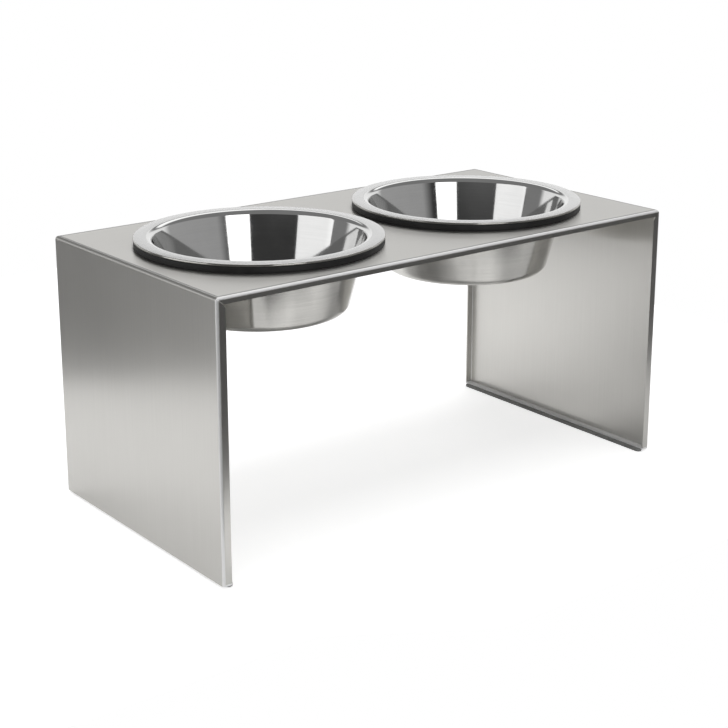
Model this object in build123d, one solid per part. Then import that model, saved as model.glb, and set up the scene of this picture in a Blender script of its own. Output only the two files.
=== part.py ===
from build123d import *
import math
import os

# A raised feeder: a bench folded from one stainless sheet, with two round bowls that hang
# by their rims in its top. Millimetres. X runs along the bench, -Y is its front, +Z is up.
# The origin is on the ground, midway between the legs and midway from front to back.

# ---- driving dimensions ----

# bench
sheet_height = 203.0        # underside of the foot flanges to the top face
bowl_margin = 17.5          # rim of a bowl to the bench's edges, and to the other rim
sheet_thickness = 1.2
leg_bend_radius = 1.4       # inside the bends between the top and the legs
fold_radius = 0.8           # inside the folds of the flanges
leg_flange = 7.0            # turned in along the front and back edges of each leg
top_flange = 5.0            # turned down along the front and back edges of the top
foot_flange = 6.5           # turned in along the bottom edge of each leg
mitre_start = 1.4           # outer corner to the point where a leg flange and a top flange part
mitre_gap = 0.6             # between the mitred ends of those two flanges, at their free edges
foot_slit = 0.6             # between a leg flange and the foot flange next to it
slit_overrun = 0.4          # how far a cut runs past the metal that it parts

# bowls
rim_radius = 92.5           # outer edge of the rim
rim_width = 12.7            # that edge to where the wall's outside would meet the rim
wall_taper = 14.5           # degrees from upright
bowl_depth = 56.7           # rim's underside to the underside of the base
bowl_sheet = 0.8
mouth_bend = 3.7            # outside radius between wall and rim
base_bend = 8.0             # outside radius between wall and base
mouth_flats = 2             # narrow flats that stand for the round of a bend, to keep the
base_flats = 3              # revolved solids light
hem_width = 4.5             # the rim's edge, folded under and pressed flat
hem_thickness = 1.8
hem_bevel = 0.5             # eased corners of the hem
base_land = 14.0            # flat ring that the bowl stands on when it is out of the bench
panel_slope = 3.0           # from that ring to the raised middle of the base
panel_rise = 1.2

# rubber rings
ring_thickness = 4.5        # between the bench top and the bowl's hem
ring_setback = 0.3          # outer edge of the ring inside the edge of the rim
ring_bevel = 0.4            # eased outer edges of the ring
collar_thickness = 1.5      # collar under the ring, which keeps it in the bench's hole
collar_depth = 1.6          # how far the collar reaches below the sheet
collar_clearance = 0.2      # collar to the edge of the hole
bowl_play = 1.3             # ring to the bend under the bowl's rim, all round

# foot strips
strip_thickness = 2.0
strip_width = 6.0
strip_overhang = 3.5        # strip past the free edge of the foot flange that it is glued to
strip_end_inset = 2.0       # front or back of the bench to the end of the strip

# ---- sizes that follow ----

bench_length = 4 * rim_radius + 3 * bowl_margin
bench_depth = 2 * rim_radius + 2 * bowl_margin
bowl_spacing = 2 * rim_radius + bowl_margin
half_length = bench_length / 2
half_depth = bench_depth / 2
inner_length = bench_length - 2 * sheet_thickness
inner_depth = bench_depth - 2 * sheet_thickness
inner_height = sheet_height - 2 * sheet_thickness
sheet_bottom = strip_thickness
bench_top = sheet_bottom + sheet_height

hem_bottom = bench_top + ring_thickness
rim_top = hem_bottom + hem_thickness
rim_underside = rim_top - bowl_sheet
base_underside = rim_underside - bowl_depth

# both of the bowl's bends turn by the same angle, from level to the slope of the wall
wall_radius = rim_radius - rim_width
bend_angle = 90 - wall_taper
bend_setback = math.tan(math.radians(bend_angle / 2))
base_corner_radius = wall_radius - bowl_depth * math.tan(math.radians(wall_taper))
base_bend_centre = (base_corner_radius - base_bend * bend_setback, base_underside + base_bend)
mouth_bend_centre = (wall_radius + mouth_bend * bend_setback, rim_underside - mouth_bend)
panel_outer_radius = base_bend_centre[0] - base_land
mouth_rise_at_ring = hem_bottom - mouth_bend_centre[1]
bowl_radius_at_ring = mouth_bend_centre[0] - math.sqrt(mouth_bend**2 - mouth_rise_at_ring**2)

ring_inner_radius = bowl_radius_at_ring + bowl_play
ring_outer_radius = rim_radius - ring_setback
hole_radius = ring_inner_radius + collar_thickness + collar_clearance


def save(node, shape):
    """Write one sub-part to parts/NODE.step."""
    os.makedirs("parts", exist_ok=True)
    export_step(shape, f"parts/{node}.step")


def arch_block(length, depth, height, bend, fold):
    """A block from z = 0 up, rounded along its top ends and round its front and back outlines."""
    with BuildSketch(Plane.XZ) as outline:
        Rectangle(length, height, align=(Align.CENTER, Align.MIN))
        fillet(outline.vertices().group_by(Axis.Y)[-1], bend)
    block = extrude(outline.sketch, depth / 2, both=True)
    faces = [block.faces().sort_by(Axis.Y)[end] for end in (0, -1)]
    edges = [edge for face in faces for edge in face.edges() if edge.center().Z > 0]
    return fillet(edges, fold)


def slit_at_top_corner():
    """The mitre between the leg flange and the top flange, at the front left."""
    clear = leg_flange + slit_overrun
    corners = [
        (mitre_start, -mitre_start),
        (top_flange + mitre_gap, -top_flange),
        (clear, -top_flange),
        (clear, -clear - mitre_gap),
    ]
    mitre = make_face(Plane.XZ * Polyline(*corners, close=True))
    reach = sheet_thickness + fold_radius
    return Pos(-half_length, -half_depth, bench_top) * extrude(mitre, reach, both=True)


def slit_at_foot_corner():
    """The gap between the leg flange and the foot flange, at the front left."""
    slit = Box(foot_flange, foot_slit, 2 * (sheet_thickness + slit_overrun),
               align=(Align.MIN, Align.MIN, Align.CENTER))
    start = sheet_thickness + leg_bend_radius
    return Pos(-half_length + start, -half_depth + sheet_thickness, sheet_bottom) * slit


def all_four_corners(front_left):
    """A cut at the front left corner, repeated at the other three."""
    front = [front_left, mirror(front_left, Plane.YZ)]
    return front + [mirror(cut, Plane.XZ) for cut in front]


def bench():
    """The top, both legs and every flange, folded from one sheet."""
    skin = arch_block(bench_length, bench_depth, sheet_height,
                      leg_bend_radius + sheet_thickness, fold_radius + sheet_thickness)
    inside = arch_block(inner_length, inner_depth, inner_height, leg_bend_radius, fold_radius)
    body = Pos(0, 0, sheet_bottom) * (skin - Pos(0, 0, sheet_thickness) * inside)

    open_front = Box(bench_length - 2 * leg_flange, 2 * bench_depth, sheet_height,
                     align=(Align.CENTER, Align.CENTER, Align.MAX))
    body -= Pos(0, 0, bench_top - top_flange) * open_front
    open_bottom = Box(bench_length - 2 * foot_flange, inner_depth, sheet_thickness,
                      align=(Align.CENTER, Align.CENTER, Align.MIN))
    body -= Pos(0, 0, sheet_bottom) * open_bottom

    for side in (-1, 1):
        body -= Pos(side * bowl_spacing / 2, 0, bench_top) * Cylinder(hole_radius, 4 * sheet_thickness)
    for cut in all_four_corners(slit_at_top_corner()) + all_four_corners(slit_at_foot_corner()):
        body -= cut
    return body


def bend_points(centre, radius, start_angle, turn, flats):
    """A bend as the ends of its narrow flats."""
    bend = CenterArc(centre, radius, start_angle, turn)
    return [bend @ (step / flats) for step in range(flats + 1)]


def bowl():
    """A bowl on the Z axis: raised base, tapered wall, flat rim and hemmed edge, of one sheet."""
    outside = [
        (0, base_underside + panel_rise),
        (panel_outer_radius - panel_slope, base_underside + panel_rise),
        (panel_outer_radius, base_underside),
        *bend_points(base_bend_centre, base_bend, -90, bend_angle, base_flats),
        *bend_points(mouth_bend_centre, mouth_bend, 90 + bend_angle, -bend_angle, mouth_flats),
        (rim_radius, rim_underside),
    ]
    with BuildSketch(Plane.XZ) as section:
        with BuildLine():
            Polyline(*outside)
            offset(amount=bowl_sheet, side=Side.LEFT, kind=Kind.INTERSECTION, closed=True)
        make_face()
        with Locations((rim_radius, hem_bottom)):
            Rectangle(hem_width, hem_thickness, align=(Align.MAX, Align.MIN))
        chamfer(section.vertices().group_by(Axis.X)[-1], hem_bevel)
    return revolve(section.sketch, Axis.Z)


def ring():
    """The rubber ring on the Z axis: a flat ring on the bench top, with a collar in the hole."""
    collar_bottom = bench_top - sheet_thickness - collar_depth
    with BuildSketch(Plane.XZ) as section:
        with Locations((ring_inner_radius, bench_top)):
            Rectangle(ring_outer_radius - ring_inner_radius, ring_thickness, align=(Align.MIN, Align.MIN))
        with Locations((ring_inner_radius, collar_bottom)):
            Rectangle(collar_thickness, bench_top - collar_bottom, align=(Align.MIN, Align.MIN))
        chamfer(section.vertices().group_by(Axis.X)[-1], ring_bevel)
    return revolve(section.sketch, Axis.Z)


def foot_strip():
    """The rubber strip under the left leg, with rounded ends."""
    length = bench_depth - 2 * strip_end_inset
    strip = extrude(SlotOverall(length, strip_width, rotation=90), strip_thickness)
    free_edge = -half_length + foot_flange + strip_overhang
    return Pos(free_edge - strip_width / 2, 0, 0) * strip


save("bench", bench())
for name, side in (("left", -1), ("right", 1)):
    place = Pos(side * bowl_spacing / 2, 0, 0)
    save(f"bowl_{name}", place * bowl())
    save(f"ring_{name}", place * ring())

left_strip = foot_strip()
save("foot_strip_left", left_strip)
save("foot_strip_right", mirror(left_strip, Plane.YZ))
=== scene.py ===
import math

import bpy
from mathutils import Euler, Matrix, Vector


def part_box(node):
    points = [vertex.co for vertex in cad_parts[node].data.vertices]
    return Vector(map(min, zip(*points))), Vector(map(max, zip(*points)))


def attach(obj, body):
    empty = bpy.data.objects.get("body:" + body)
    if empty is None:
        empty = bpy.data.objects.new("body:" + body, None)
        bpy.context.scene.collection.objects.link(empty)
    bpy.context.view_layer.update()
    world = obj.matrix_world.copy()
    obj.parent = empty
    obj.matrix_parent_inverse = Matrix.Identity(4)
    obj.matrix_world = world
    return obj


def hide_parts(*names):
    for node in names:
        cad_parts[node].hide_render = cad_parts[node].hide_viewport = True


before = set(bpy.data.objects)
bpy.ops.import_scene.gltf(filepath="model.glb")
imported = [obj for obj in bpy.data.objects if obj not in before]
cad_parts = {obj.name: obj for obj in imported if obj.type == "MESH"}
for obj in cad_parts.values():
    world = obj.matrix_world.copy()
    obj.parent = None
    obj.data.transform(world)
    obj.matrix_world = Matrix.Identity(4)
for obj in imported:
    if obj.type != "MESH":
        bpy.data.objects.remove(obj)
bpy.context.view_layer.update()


# ---- sizes, in metres ----

# a bowl's section. Its outer radius and its heights come from the frame.
bowl_sheet = 0.0008
rim_width = 0.0127          # rim's edge to where the wall's outside would meet the rim
wall_taper = 14.5           # degrees from upright
mouth_bend = 0.0037         # outside radius between wall and rim
base_bend = 0.008           # outside radius between wall and base
hem_width = 0.0045          # the rim's edge, folded under
hem_thickness = 0.0018
hem_round = 0.0007
base_land = 0.014           # flat ring that the bowl stands on when it is out of the bench
panel_slope = 0.003         # from that ring to the raised middle of the base
panel_rise = 0.0012
panel_bend = 0.002          # radius at both ends of that slope

# a ring's section. Its radii and its heights come from the frame.
collar_thickness = 0.0015
ring_round = 0.0005

# how finely the revolved pieces are drawn
turn_steps = 256            # round the axis
bend_steps = 8              # along each of a bowl's two large bends
panel_steps = 3             # along the small bends of its base
edge_steps = 4              # along a quarter round
axis_reach = 1e-6           # a point closer to the axis than this is on it
sharp_angle = 35            # degrees between two faces, above which their edge is drawn sharp

# where the bench's painted light lies: a painted highlight on its folds and foot flanges, and a painted
# dark line along the top where its folds start. Each pair is where a zone starts and where it is full.
fold_depth = (0.0019, 0.00133)       # painted highlight on the folds: in from the bench's front and back edges
foot_height = (0.0016, 0.0013)       # painted highlight on the foot flanges: up from the sheet's lower end
foot_depth = (0.0012, 0.0016)        # and in from the bench's ends
top_depth = (0.0004, 0.0002)         # painted dark line, standing in for the dark room mirrored where the folds start: down from the top face
dark_line_spread = (0.0010, 0.0004)       # and out from its middle
dark_line_place = 0.0030                  # from the top's edges in to that middle

# ---- finishes ----

# Noise gathers round 0.5, so a colour ramp on it starts and ends here.
ramp_start = 0.3
ramp_end = 0.7

across_grain = (0.05, 1.0, 0.05)     # nearly Y, but never straight out of a flange's face
painted_fold_highlight_level = 0.95                    # painted highlight on the folds and foot flanges, brighter than the sheet
fold_highlight_metal_loss = 0.75               # taken off the sheet's metal in the painted highlight, so that it looks bright from all round
fold_roughness = 0.12                # added to the sheet's
painted_dark_line_level = 0.25                    # painted dark line along the top where its folds start, darker than the sheet

# a rubber's darkest and lightest places, as shares of its colour, and the dust on the lightest
rubber_dark = 0.8
rubber_light = 1.5
rubber_dust = 0.004
rubber_smoother = 0.06      # how far its roughness falls below its usual value
rubber_rougher = 0.08       # and rises above it

# ---- camera, for a square frame ----

camera_aim = Vector((-0.0023, 0.0018, 0.1498))
camera_distance = 1.2444
camera_azimuth = -38.28     # 0 looks along +Y
camera_elevation = 15.46
camera_lens = 78.7          # millimetres
camera_sensor = 36          # millimetres
camera_shift = -0.1

# ---- studio ----

# the table's corners: it ends close in front of the object, and its far left is cut back
table_corners = ((-0.60, -0.20), (-0.20, -0.20), (-0.10, -0.265), (0.55, -0.265), (0.55, 0.75),
                 (-0.21, 0.73), (-0.345, 0.345), (-0.485, 0.235), (-0.60, 0.135))
table_level = 0.85
table_roughness = 0.9
table_glow = 0.62           # added where the camera sees the table, so that all but the shadow is white

light_panel_distance = 1.5  # from the upright axis through the origin
top_light_size = (1.4, 1.2)
top_light_place = (-0.1, -0.1, 1.5)
top_light_power = 14

# What is added where the metal shows the table, in three zones. Each pair is where a zone starts and where
# it is full.
left_glow = 0.27
left_glow_x = (-0.17, -0.21)
rear_glow = 0.45
rear_glow_y = (-0.08, -0.02)
rear_glow_slant = (0.0, 0.08)   # X plus a share of Y
slant_share = 0.79
front_glow = 0.36
front_glow_x = (0.15, 0.08)
front_glow_y = (-0.11, -0.15)

# How bright the room is round the object: headings in degrees from +X, each with its level. The room's
# other pairs are where a change starts and where it is full, and its heights are sines of an elevation.
room_levels = ((-180, 0.045), (-88, 0.045), (-75, 0.38), (-8, 0.42), (2, 1.0),
               (117, 1.0), (124, 0.24), (146, 0.24), (153, 0.045), (180, 0.045))
below_share = 0.20          # the room below the horizon, as a share of the level round it
horizon = (-0.03, 0.01)     # height over which that share gives way to the level itself
overhead_level = 0.23
overhead_rise = (0.31, 0.40)    # height over which the level overhead takes over
overhead_lean = 0.06        # lowers that height straight behind and raises it straight in front
high_light_level = 1.40     # a wide light high behind the object, on the right
high_light_rise = (0.40, 0.46)  # its height
high_light_side = (0.20, 0.36)  # its direction's X, and its Y too


# ---- node helpers ----

def new_material(name):
    """A material with its tree and its Principled shader."""
    material = bpy.data.materials.new(name)
    material.use_nodes = True
    tree = material.node_tree
    return material, tree, tree.nodes["Principled BSDF"]


def add_node(tree, kind, **values):
    """A node with some of its settings changed."""
    node = tree.nodes.new(kind)
    for key, value in values.items():
        setattr(node, key, value)
    return node


def feed(tree, value, socket):
    """Links an output to a socket, or sets the socket to a plain value."""
    if isinstance(value, bpy.types.NodeSocket):
        tree.links.new(value, socket)
    else:
        socket.default_value = value


def grey(level):
    """A grey, as a colour."""
    return (level, level, level, 1)


def math_node(tree, operation, *values):
    """One operation on values, each a number or an output."""
    node = add_node(tree, "ShaderNodeMath", operation=operation)
    for value, socket in zip(values, node.inputs):
        feed(tree, value, socket)
    return node.outputs["Value"]


def product(tree, first, second):
    """Two values multiplied."""
    return math_node(tree, "MULTIPLY", first, second)


def vector_node(tree, operation, *vectors):
    """One operation on vectors."""
    node = add_node(tree, "ShaderNodeVectorMath", operation=operation)
    for vector, socket in zip(vectors, node.inputs):
        feed(tree, vector, socket)
    return node


def split(tree, vector):
    """A vector's X, Y and Z."""
    node = add_node(tree, "ShaderNodeSeparateXYZ")
    tree.links.new(vector, node.inputs[0])
    return node.outputs["X"], node.outputs["Y"], node.outputs["Z"]


def joined(tree, *values):
    """A vector made of an X, a Y and a Z."""
    node = add_node(tree, "ShaderNodeCombineXYZ")
    for value, socket in zip(values, node.inputs):
        feed(tree, value, socket)
    return node.outputs["Vector"]


def object_place(tree):
    """Where a point lies in its object's own metres."""
    return add_node(tree, "ShaderNodeTexCoord").outputs["Object"]


def map_range(tree, value, side, low, high):
    """A value moved from one range to another. The side, From or To, is given, and the other is 0 to 1."""
    node = add_node(tree, "ShaderNodeMapRange")
    node.inputs[f"{side} Min"].default_value = low
    node.inputs[f"{side} Max"].default_value = high
    tree.links.new(value, node.inputs["Value"])
    return node.outputs["Result"]


def spread(tree, value, low, high):
    """A 0 to 1 value spread over a range."""
    return map_range(tree, value, "To", low, high)


def fade(tree, value, start, full):
    """0 up to the start and 1 from where it is full."""
    return map_range(tree, value, "From", start, full)


def mix(tree, kind, factor, first, second):
    """Two values or colours, with a factor's share of the second."""
    node = add_node(tree, "ShaderNodeMix", data_type=kind)
    feed(tree, factor, node.inputs["Factor"])
    feed(tree, first, node.inputs["A"])
    feed(tree, second, node.inputs["B"])
    return node.outputs["Result"]


def mixed(tree, first, second, share):
    """Two values mixed in a fixed share of the second."""
    return mix(tree, "FLOAT", share, first, second)


def blended(tree, factor, first, second):
    """Two colours blended by a factor."""
    return mix(tree, "RGBA", factor, first, second)


def noise(tree, place, grains, detail):
    """Noise with its own number of grains per unit along X, Y and Z."""
    mapping = add_node(tree, "ShaderNodeMapping")
    mapping.inputs["Scale"].default_value = grains
    tree.links.new(place, mapping.inputs["Vector"])
    node = add_node(tree, "ShaderNodeTexNoise")
    node.inputs["Scale"].default_value = 1.0
    node.inputs["Detail"].default_value = detail
    tree.links.new(mapping.outputs["Vector"], node.inputs["Vector"])
    return node.outputs["Fac"]


def stretched_noise(tree, grains, detail):
    """Noise with its grains counted per metre of the object."""
    return noise(tree, object_place(tree), grains, detail)


def turned_noise(tree, grains, turn_grains, height_share=0.0):
    """Noise round the object's upright axis: fine across the radius and long round the turn.

    The height share is how far a step up counts as a step out.
    """
    place = object_place(tree)
    height = split(tree, place)[2]
    flat = vector_node(tree, "MULTIPLY", place, (1, 1, 0)).outputs["Vector"]
    radius = vector_node(tree, "LENGTH", flat).outputs["Value"]
    direction = vector_node(tree, "NORMALIZE", flat).outputs["Vector"]
    turn_x, turn_y, _ = split(tree, direction)
    across = math_node(tree, "MULTIPLY_ADD", height, height_share, radius)
    turned_place = joined(tree, turn_x, turn_y, across)
    return noise(tree, turned_place, grains=(turn_grains, turn_grains, grains), detail=2)


def colour_from(tree, value, dark, light):
    """A colour between two, by a value of noise."""
    ramp = add_node(tree, "ShaderNodeValToRGB")
    first, second = ramp.color_ramp.elements
    first.position = ramp_start
    first.color = (*dark, 1)
    second.position = ramp_end
    second.color = (*light, 1)
    tree.links.new(value, ramp.inputs["Fac"])
    return ramp.outputs["Color"]


def add_bump(tree, shader, height, depth, strength):
    """Fine relief on a shader's surface."""
    bump = add_node(tree, "ShaderNodeBump")
    bump.inputs["Distance"].default_value = depth
    bump.inputs["Strength"].default_value = strength
    tree.links.new(height, bump.inputs["Height"])
    tree.links.new(bump.outputs["Normal"], shader.inputs["Normal"])


def add_tone(tree, shader, tone, dark, light, smooth, rough):
    """Colour and roughness that both follow one value of noise."""
    tree.links.new(colour_from(tree, tone, dark, light), shader.inputs["Base Color"])
    tree.links.new(spread(tree, tone, smooth, rough), shader.inputs["Roughness"])


# ---- where the bench's painted light lies ----

def depth_from(tree, coordinate, face):
    """How far a point lies inside two faces at plus and minus a distance."""
    return math_node(tree, "SUBTRACT", face, math_node(tree, "ABSOLUTE", coordinate))


def bench_depths(tree):
    """How far a point lies in from the bench's ends and sides, under its top and above its lower end."""
    low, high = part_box("bench")
    along, back, height = split(tree, object_place(tree))
    ends = depth_from(tree, along, (high[0] - low[0]) / 2)
    sides = depth_from(tree, back, (high[1] - low[1]) / 2)
    under_top = math_node(tree, "SUBTRACT", high[2], height)
    above_foot = math_node(tree, "SUBTRACT", height, low[2])
    return ends, sides, under_top, above_foot


def painted_light_zones(tree):
    """Two masks: a painted highlight on the folds with the foot flanges, and a thin painted dark line
    along the top where the folds start.
    """
    ends, sides, under_top, above_foot = bench_depths(tree)
    # the painted highlight on the folds and the foot flanges
    edge_depth = math_node(tree, "MAXIMUM", sides, math_node(tree, "MINIMUM", ends, under_top))
    edge_folds = fade(tree, edge_depth, *fold_depth)
    feet = product(tree, fade(tree, above_foot, *foot_height), fade(tree, ends, *foot_depth))
    folds = math_node(tree, "MAXIMUM", edge_folds, feet)

    # the painted dark line along the top's edges, where the folds start
    top_edge = math_node(tree, "MINIMUM", ends, sides)
    from_dark_line = math_node(tree, "ABSOLUTE", math_node(tree, "SUBTRACT", top_edge, dark_line_place))
    marks = product(tree, fade(tree, under_top, *top_depth), fade(tree, from_dark_line, *dark_line_spread))
    return folds, marks


# ---- materials ----

def brushed_sheet():
    """Stainless sheet with a grain that runs along the top and down the legs, a painted highlight on its
    folds and foot flanges, and a painted dark line along its top.
    """
    material, tree, shader = new_material("brushed_sheet")
    shader.inputs["Anisotropic"].default_value = 0.75
    tree.links.new(joined(tree, *across_grain), shader.inputs["Tangent"])
    fine = stretched_noise(tree, grains=(14, 4200, 14), detail=2)
    broad = stretched_noise(tree, grains=(6, 1100, 6), detail=2)
    cloudy = stretched_noise(tree, grains=(14, 14, 14), detail=3)
    grain = mixed(tree, fine, broad, share=0.3)
    tone = mixed(tree, grain, cloudy, share=0.3)

    # painted light: the folds and foot flanges are painted bright and less metallic, and a thin dark line
    # is painted along the top
    folds, marks = painted_light_zones(tree)
    colour = colour_from(tree, tone, dark=(0.599, 0.590, 0.566), light=(0.660, 0.650, 0.624))
    colour = blended(tree, folds, colour, grey(painted_fold_highlight_level))
    colour = blended(tree, marks, colour, grey(painted_dark_line_level))
    metal = math_node(tree, "SUBTRACT", 1, product(tree, folds, fold_highlight_metal_loss))
    rough = spread(tree, tone, low=0.28, high=0.36)
    rough = math_node(tree, "ADD", rough, product(tree, folds, fold_roughness))
    tree.links.new(colour, shader.inputs["Base Color"])
    tree.links.new(metal, shader.inputs["Metallic"])
    tree.links.new(rough, shader.inputs["Roughness"])
    add_bump(tree, shader, fine, depth=0.00002, strength=0.3)
    return material


def polished_bowl():
    """The mirror finish inside the bowl, with faint marks from spinning and handling."""
    material, tree, shader = new_material("polished_bowl")
    shader.inputs["Metallic"].default_value = 1.0
    rings = turned_noise(tree, grains=900, turn_grains=1.2, height_share=1.0)
    smudges = stretched_noise(tree, grains=(60, 60, 60), detail=4)
    tone = mixed(tree, rings, smudges, share=0.6)
    add_tone(tree, shader, tone, dark=(0.66, 0.66, 0.655), light=(0.72, 0.72, 0.715),
             smooth=0.03, rough=0.11)
    add_bump(tree, shader, rings, depth=0.00001, strength=0.15)
    return material


def satin_bowl():
    """The outside of the bowl, drawn and only half polished."""
    material, tree, shader = new_material("satin_bowl")
    shader.inputs["Metallic"].default_value = 1.0
    shader.inputs["Anisotropic"].default_value = 0.7
    shader.inputs["Anisotropic Rotation"].default_value = 0.25
    around = add_node(tree, "ShaderNodeTangent", direction_type="RADIAL", axis="Z")
    tree.links.new(around.outputs["Tangent"], shader.inputs["Tangent"])
    rings = turned_noise(tree, grains=1400, turn_grains=1.5, height_share=1.0)
    smudges = stretched_noise(tree, grains=(45, 45, 45), detail=4)
    bands = stretched_noise(tree, grains=(42, 42, 6), detail=3)
    tone = mixed(tree, mixed(tree, rings, smudges, share=0.5), bands, share=0.55)
    add_tone(tree, shader, tone, dark=(0.376, 0.370, 0.355), light=(0.690, 0.680, 0.652),
             smooth=0.10, rough=0.22)
    add_bump(tree, shader, rings, depth=0.00002, strength=0.25)
    return material


def brushed_rim():
    """The flat of the rim, brushed round the turn."""
    material, tree, shader = new_material("brushed_rim")
    shader.inputs["Metallic"].default_value = 1.0
    rings = turned_noise(tree, grains=2600, turn_grains=2.5)
    smudges = stretched_noise(tree, grains=(70, 70, 70), detail=4)
    tone = mixed(tree, rings, smudges, share=0.35)
    add_tone(tree, shader, tone, dark=(0.66, 0.66, 0.655), light=(0.74, 0.74, 0.735),
             smooth=0.18, rough=0.32)
    add_bump(tree, shader, rings, depth=0.00003, strength=0.4)
    return material


def rubber(name, colour, roughness):
    """Matt moulded rubber with a little dust and grain."""
    material, tree, shader = new_material(name)
    shader.inputs["Specular IOR Level"].default_value = 0.35
    grain = stretched_noise(tree, grains=(1800, 1800, 1800), detail=3)
    dust = stretched_noise(tree, grains=(90, 90, 90), detail=4)
    tone = mixed(tree, dust, grain, share=0.4)
    dark = [channel * rubber_dark for channel in colour]
    light = [channel * rubber_light + rubber_dust for channel in colour]
    rough = spread(tree, dust, roughness - rubber_smoother, roughness + rubber_rougher)
    tree.links.new(colour_from(tree, tone, dark, light), shader.inputs["Base Color"])
    tree.links.new(rough, shader.inputs["Roughness"])
    add_bump(tree, shader, grain, depth=0.00006, strength=0.5)
    return material


# ---- revolved pieces ----

def arc(centre, radius, start, turn, steps):
    """Points along an arc, with its angles in degrees."""
    angles = [math.radians(start + turn * step / steps) for step in range(steps + 1)]
    return [(centre[0] + radius * math.cos(a), centre[1] + radius * math.sin(a)) for a in angles]


def turned_points(section):
    """A revolved section's points, and for each section point the numbers of its turn round the axis."""
    points = []
    turns = []
    for radius, height, _ in section:
        count = 1 if radius < axis_reach else turn_steps
        numbers = [len(points) + step % count for step in range(turn_steps)]
        turns.append(numbers)
        for step in range(count):
            angle = 2 * math.pi * step / turn_steps
            points.append((radius * math.cos(angle), radius * math.sin(angle), height))
    return points, turns


def turned_faces(section, turns):
    """The faces between each turn and the next, and the number of each face's material."""
    faces = []
    slots = []
    for index, (radius, _, slot) in enumerate(section):
        after = (index + 1) % len(section)
        if max(radius, section[after][0]) < axis_reach:
            continue
        for step in range(turn_steps):
            ahead = (step + 1) % turn_steps
            corners = [turns[index][step], turns[index][ahead], turns[after][ahead], turns[after][step]]
            faces.append(list(dict.fromkeys(corners)))
            slots.append(slot)
    return faces, slots


def revolved(name, section, materials, centre):
    """A smooth solid of revolution at centre. Each section point is (radius, height, material)."""
    points, turns = turned_points(section)
    faces, slots = turned_faces(section, turns)
    mesh = bpy.data.meshes.new(name)
    mesh.from_pydata(points, [], faces)
    for material in materials:
        mesh.materials.append(material)
    for face, slot in zip(mesh.polygons, slots):
        face.material_index = slot
        face.use_smooth = True
    mesh.set_sharp_from_angle(angle=math.radians(sharp_angle))
    piece = bpy.data.objects.new(name, mesh)
    piece.location = centre
    bpy.context.scene.collection.objects.link(piece)
    return piece


# the numbers of a bowl's materials, and of a ring's only one
inside_slot = 0
outside_slot = 1
rim_slot = 2
rubber_slot = 0


def bowl_bends(rim_radius, depth):
    """The centres of a bowl's bends, from the rim in: mouth, base, and both ends of the base's slope."""
    underside = -bowl_sheet
    base = underside - depth
    setback = math.tan(math.radians((90 - wall_taper) / 2))
    wall_radius = rim_radius - rim_width
    base_corner = wall_radius - depth * math.tan(math.radians(wall_taper))
    mouth_centre = (wall_radius + mouth_bend * setback, underside - mouth_bend)
    base_centre = (base_corner - base_bend * setback, base + base_bend)
    land_end = base_centre[0] - base_land
    foot_centre = (land_end, base + panel_bend)
    rise_centre = (land_end - panel_slope, base + panel_rise - panel_bend)
    return mouth_centre, base_centre, foot_centre, rise_centre


def sheet_face(bends, offset):
    """The face of a bowl's sheet at an offset from its outside, from the axis to the rim."""
    mouth_centre, base_centre, foot_centre, rise_centre = bends
    turn = 90 - wall_taper
    slope = math.degrees(math.atan2(panel_rise, panel_slope))
    middle = rise_centre[1] + panel_bend + offset
    return [
        (0, middle),
        *arc(rise_centre, panel_bend + offset, 90, -slope, panel_steps),
        *arc(foot_centre, panel_bend - offset, 270 - slope, slope, panel_steps),
        *arc(base_centre, base_bend - offset, -90, turn, bend_steps),
        *arc(mouth_centre, mouth_bend + offset, 90 + turn, -turn, bend_steps),
    ]


def hem(rim_radius):
    """The folded edge of the rim, from the rim's underside round to its top."""
    inner = rim_radius - hem_width
    corner = rim_radius - hem_round
    return [
        (inner, -bowl_sheet),
        (inner, -hem_thickness),
        *arc((corner, hem_round - hem_thickness), hem_round, -90, 90, edge_steps),
        *arc((corner, -hem_round), hem_round, 0, 90, edge_steps),
    ]


def bowl_section(rim_radius, height):
    """A bowl's closed section, with heights measured from its rim's top."""
    bends = bowl_bends(rim_radius, depth=height - bowl_sheet)
    outside = sheet_face(bends, 0) + hem(rim_radius)
    inside = sheet_face(bends, bowl_sheet)[::-1]
    slots = [outside_slot] * (len(outside) - 1) + [rim_slot] + [inside_slot] * len(inside)
    return [(*point, slot) for point, slot in zip(outside + inside, slots)]


def ring_section(inner, outer, low, high, seat):
    """A rubber ring's closed section: the part on the bench, and the collar in its hole."""
    collar_outer = inner + collar_thickness
    corner = outer - ring_round
    section = [
        (inner, low),
        (collar_outer, low),
        (collar_outer, seat),
        *arc((corner, seat + ring_round), ring_round, -90, 90, edge_steps),
        *arc((corner, high - ring_round), ring_round, 0, 90, edge_steps),
        (inner, high),
    ]
    return [(*point, rubber_slot) for point in section]


def make_bowl(side, materials):
    """A bowl in place of the frame's plainer one."""
    low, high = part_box(f"bowl_{side}")
    centre = Vector(((low[0] + high[0]) / 2, (low[1] + high[1]) / 2, high[2]))
    section = bowl_section(rim_radius=(high[0] - low[0]) / 2, height=high[2] - low[2])
    bowl = revolved(f"{side}_bowl", section, materials, centre)
    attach(bowl, f"{side}_bowl")
    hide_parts(f"bowl_{side}")


def inner_radius(node, centre):
    """The shortest distance from a node's points to an upright axis."""
    points = [point.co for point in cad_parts[node].data.vertices]
    return min(math.hypot(point.x - centre.x, point.y - centre.y) for point in points)


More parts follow.
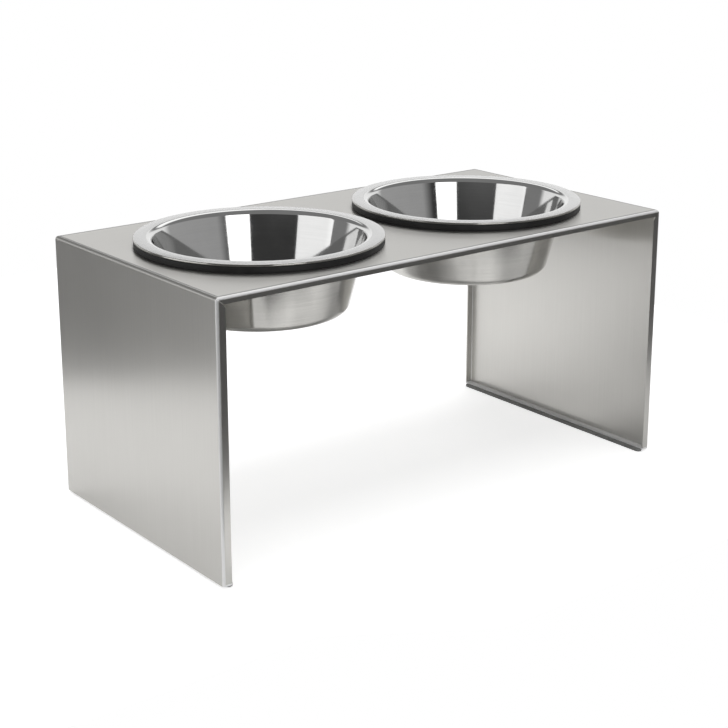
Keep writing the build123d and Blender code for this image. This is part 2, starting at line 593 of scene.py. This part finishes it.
def make_ring(side, material):
    """A rubber ring in place of the frame's plainer one."""
    low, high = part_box(f"ring_{side}")
    centre = Vector(((low[0] + high[0]) / 2, (low[1] + high[1]) / 2, 0))
    inner = inner_radius(f"ring_{side}", centre)
    outer = (high[0] - low[0]) / 2
    bench_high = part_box("bench")[1]
    section = ring_section(inner, outer, low[2], high[2], seat=bench_high[2])
    ring = revolved(f"{side}_ring", section, [material], centre)
    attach(ring, "stand")
    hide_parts(f"ring_{side}")


def finish_node(name, material):
    """A material for a piece that keeps the frame's mesh."""
    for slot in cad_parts[name].material_slots:
        slot.material = material


# ---- camera ----

def make_camera():
    """A camera that looks at its aim, with its view shifted down a little."""
    data = bpy.data.cameras.new("camera")
    data.lens = camera_lens
    data.sensor_width = camera_sensor
    data.shift_y = camera_shift
    camera = bpy.data.objects.new("camera", data)
    turn = Euler((math.radians(90 - camera_elevation), 0, math.radians(camera_azimuth)))
    forward = turn.to_matrix() @ Vector((0, 0, -1))
    camera.rotation_euler = turn
    camera.location = camera_aim - forward * camera_distance
    bpy.context.scene.collection.objects.link(camera)
    bpy.context.scene.camera = camera


# ---- table ----

def glow_in_metal(tree):
    """What the table adds to its reflections, by zones: at the left, at the rear right and in front."""
    along, back, _ = split(tree, object_place(tree))
    slant = math_node(tree, "ADD", along, product(tree, back, slant_share))
    left = fade(tree, along, *left_glow_x)
    rear = product(tree, fade(tree, slant, *rear_glow_slant), fade(tree, back, *rear_glow_y))
    front = product(tree, fade(tree, along, *front_glow_x), fade(tree, back, *front_glow_y))
    left = product(tree, left, left_glow)
    rear = product(tree, rear, rear_glow)
    front = product(tree, front, front_glow)
    return math_node(tree, "MAXIMUM", left, math_node(tree, "MAXIMUM", rear, front))


def table_white():
    """Matt white that glows: evenly to the camera, and by zones to the metal."""
    material, tree, shader = new_material("table_white")
    shader.inputs["Base Color"].default_value = grey(table_level)
    shader.inputs["Roughness"].default_value = table_roughness
    shader.inputs["Specular IOR Level"].default_value = 0.0
    path = add_node(tree, "ShaderNodeLightPath").outputs
    to_camera = product(tree, path["Is Camera Ray"], table_glow)
    strength = math_node(tree, "MULTIPLY_ADD", path["Is Glossy Ray"], glow_in_metal(tree), to_camera)
    glow = add_node(tree, "ShaderNodeEmission")
    total = add_node(tree, "ShaderNodeAddShader")
    tree.links.new(strength, glow.inputs["Strength"])
    tree.links.new(shader.outputs["BSDF"], total.inputs[0])
    tree.links.new(glow.outputs["Emission"], total.inputs[1])
    tree.links.new(total.outputs["Shader"], tree.nodes["Material Output"].inputs["Surface"])
    return material


def make_floor():
    """A pale table top with a soft shadow."""
    corners = [(x, y, 0) for x, y in table_corners]
    mesh = bpy.data.meshes.new("table")
    mesh.from_pydata(corners, [], [list(range(len(corners)))])
    mesh.materials.append(table_white())
    floor = bpy.data.objects.new("table", mesh)
    bpy.context.scene.collection.objects.link(floor)


# ---- room and lights ----

def room_around(tree, x, y):
    """The room's level by heading."""
    ramp = add_node(tree, "ShaderNodeValToRGB")
    stops = ramp.color_ramp.elements
    while len(stops) < len(room_levels):
        stops.new(position=0.5)  # its place is set below
    for stop, (degrees, level) in zip(stops, room_levels):
        stop.position = (degrees + 180) / 360
        stop.color = grey(level)
    heading = math_node(tree, "ARCTAN2", y, x)
    tree.links.new(fade(tree, heading, -math.pi, math.pi), ramp.inputs["Fac"])
    return ramp.outputs["Color"]


def high_light(tree, x, y, height):
    """A mask for the part of the room that is high up, behind and on the right."""
    side = product(tree, fade(tree, y, *high_light_side), fade(tree, x, *high_light_side))
    return product(tree, fade(tree, height, *high_light_rise), side)


def room_colour(tree):
    """The room by direction: bright behind the object, dark in front, dim above, and a light high up."""
    x, y, height = split(tree, add_node(tree, "ShaderNodeTexCoord").outputs["Generated"])
    around = room_around(tree, x, y)
    below = blended(tree, below_share, grey(0), around)
    leaning = math_node(tree, "ADD", height, product(tree, y, overhead_lean))
    above = blended(tree, fade(tree, leaning, *overhead_rise), around, grey(overhead_level))
    room = blended(tree, fade(tree, height, *horizon), below, above)
    return blended(tree, high_light(tree, x, y, height), room, grey(high_light_level))


def make_world():
    """White to the camera, and the room to everything else."""
    world = bpy.data.worlds.new("studio")
    world.use_nodes = True
    tree = world.node_tree
    path = add_node(tree, "ShaderNodeLightPath").outputs
    seen = blended(tree, path["Is Camera Ray"], room_colour(tree), grey(1))
    tree.links.new(seen, tree.nodes["Background"].inputs["Color"])
    bpy.context.scene.world = world


def make_light(name, place, size, power):
    """A soft rectangular light that the camera doesn't see. It points down until it is turned."""
    data = bpy.data.lights.new(name, "AREA")
    data.shape = "RECTANGLE"
    data.size, data.size_y = size
    data.energy = power
    light = bpy.data.objects.new(name, data)
    light.location = place
    light.visible_camera = False
    bpy.context.scene.collection.objects.link(light)
    return light


def make_light_panel(name, heading, height, width, tall, level):
    """An upright light that faces the axis through the origin. The metal shows it at its level."""
    angle = math.radians(heading)
    place = (light_panel_distance * math.cos(angle), light_panel_distance * math.sin(angle), height)
    power = level * math.pi * width * tall
    light = make_light(name, place, (width, tall), power)
    inward = Vector((0, 0, height)) - light.location
    light.rotation_euler = inward.to_track_quat("-Z", "Y").to_euler()


def make_top_light():
    """A wide light above, for the table and its shadow. The metal doesn't show it."""
    light = make_light("top_light", top_light_place, top_light_size, top_light_power)
    light.visible_glossy = False


# ---- the whole scene ----

bowl_materials = [polished_bowl(), satin_bowl(), brushed_rim()]
ring_material = rubber("ring_rubber", colour=(0.019, 0.019, 0.019), roughness=0.5)
strip_material = rubber("foot_rubber", colour=(0.22, 0.22, 0.215), roughness=0.6)

finish_node("bench", brushed_sheet())
for side in ("left", "right"):
    make_bowl(side, bowl_materials)
    make_ring(side, ring_material)
    finish_node(f"foot_strip_{side}", strip_material)

make_camera()
make_floor()
make_world()
make_light_panel("left_panel", heading=167, height=0.15, width=1.22, tall=1.5, level=1.12)
make_light_panel("front_panel", heading=257.5, height=0.52, width=0.74, tall=0.8, level=2.1)
make_top_light()
bpy.context.scene.view_settings.view_transform = "Standard"
